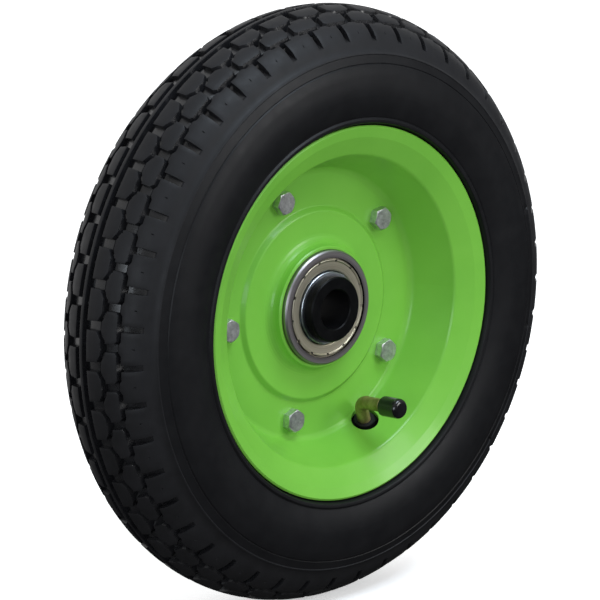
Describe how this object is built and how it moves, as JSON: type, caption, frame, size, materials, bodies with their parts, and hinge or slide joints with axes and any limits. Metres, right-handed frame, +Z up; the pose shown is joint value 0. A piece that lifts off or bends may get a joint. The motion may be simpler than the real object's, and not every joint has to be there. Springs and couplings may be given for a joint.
{
  "type": "wheelbarrow wheel",
  "caption": "Pneumatic wheelbarrow wheel: block-tread tyre on a green bolted split steel rim, with shielded ball bearings, flanged axle bushes and a bent valve.",
  "frame": {"origin": "wheel's centre: the middle of the axle bore, on the plane where the two rim halves meet", "axes": "+Y along the axle, out of the back face; -Y is the front, with the bolt heads and valve; +Z up; X along the rolling direction"},
  "size_m": [0.3746, 0.0956, 0.3746],
  "materials": {
    "tyre": "matt black rubber with a slight satin sheen",
    "bead_wire": "bronze-coated steel wire",
    "tube_rubber": "matt black butyl rubber",
    "rim_paint": "glossy lime green powder coat",
    "zinc_steel": "bright zinc plate",
    "spring_steel": "dull zinc plate",
    "race_steel": "ground bearing steel",
    "ball_steel": "polished steel",
    "cage_steel": "pressed steel",
    "shield_steel": "pale passivated steel",
    "bush_nylon": "black nylon, faintly satin",
    "valve_brass": "dull olive brass",
    "valve_rubber": "black moulded rubber",
    "core_brass": "bright brass",
    "core_seal": "red-brown rubber",
    "pin_steel": "bright steel wire",
    "cap_plastic": "glossy black plastic",
    "cap_seal": "grey rubber"
  },
  "bodies": {
    "axle_bushes": {"bush_front": "bush_nylon", "bush_back": "bush_nylon", "front_inner_race": "race_steel", "back_inner_race": "race_steel"},
    "wheel": {"tyre": "tyre", "bead_wire_front": "bead_wire", "bead_wire_back": "bead_wire", "inner_tube": "tube_rubber", "rim_front": "rim_paint", "rim_back": "rim_paint", "rim_bolt_1": "zinc_steel", "rim_nut_1": "zinc_steel", "lock_washer_1": "spring_steel", "rim_bolt_2": "zinc_steel", "rim_nut_2": "zinc_steel", "lock_washer_2": "spring_steel", "rim_bolt_3": "zinc_steel", "rim_nut_3": "zinc_steel", "lock_washer_3": "spring_steel", "rim_bolt_4": "zinc_steel", "rim_nut_4": "zinc_steel", "lock_washer_4": "spring_steel", "rim_bolt_5": "zinc_steel", "rim_nut_5": "zinc_steel", "lock_washer_5": "spring_steel", "front_outer_race": "race_steel", "front_shield_outer": "shield_steel", "front_shield_inner": "shield_steel", "back_outer_race": "race_steel", "back_shield_outer": "shield_steel", "back_shield_inner": "shield_steel", "valve_base": "valve_rubber", "valve_stem": "valve_brass", "valve_core": "core_brass", "valve_core_seal": "core_seal", "valve_spring": "spring_steel"},
    "front_rolling_set": {"front_balls": "ball_steel", "front_cage": "cage_steel"},
    "back_rolling_set": {"back_balls": "ball_steel", "back_cage": "cage_steel"},
    "valve_cap": {"valve_cap": "cap_plastic", "valve_cap_seal": "cap_seal"},
    "valve_pin": {"valve_pin": "pin_steel"}
  },
  "joints": [
    {"name": "wheel_spin", "type": "hinge", "parent": "axle_bushes", "child": "wheel", "pos_m": [0, 0, 0], "axis": [0, 1, 0], "continuous": true},
    {"name": "front_cage_spin", "type": "hinge", "parent": "axle_bushes", "child": "front_rolling_set", "pos_m": [0, 0, 0], "axis": [0, 1, 0], "continuous": true},
    {"name": "back_cage_spin", "type": "hinge", "parent": "axle_bushes", "child": "back_rolling_set", "pos_m": [0, 0, 0], "axis": [0, 1, 0], "continuous": true},
    {"name": "valve_cap_removal", "type": "slide", "parent": "wheel", "child": "valve_cap", "axis": [-0.0306, -0.9976, 0.0627], "range_m": [0, 0.014]},
    {"name": "valve_pin_press", "type": "slide", "parent": "wheel", "child": "valve_pin", "axis": [0.0306, 0.9976, -0.0627], "range_m": [0, 0.0012], "stiffness_N_per_m": 1500, "springref_m": -0.001, "deforming": ["valve_spring"]}
  ],
  "couplings": [
    {"joint": "front_cage_spin", "follows": "wheel_spin", "ratio": 0.60383},
    {"joint": "back_cage_spin", "follows": "wheel_spin", "ratio": 0.60383}
  ]
}
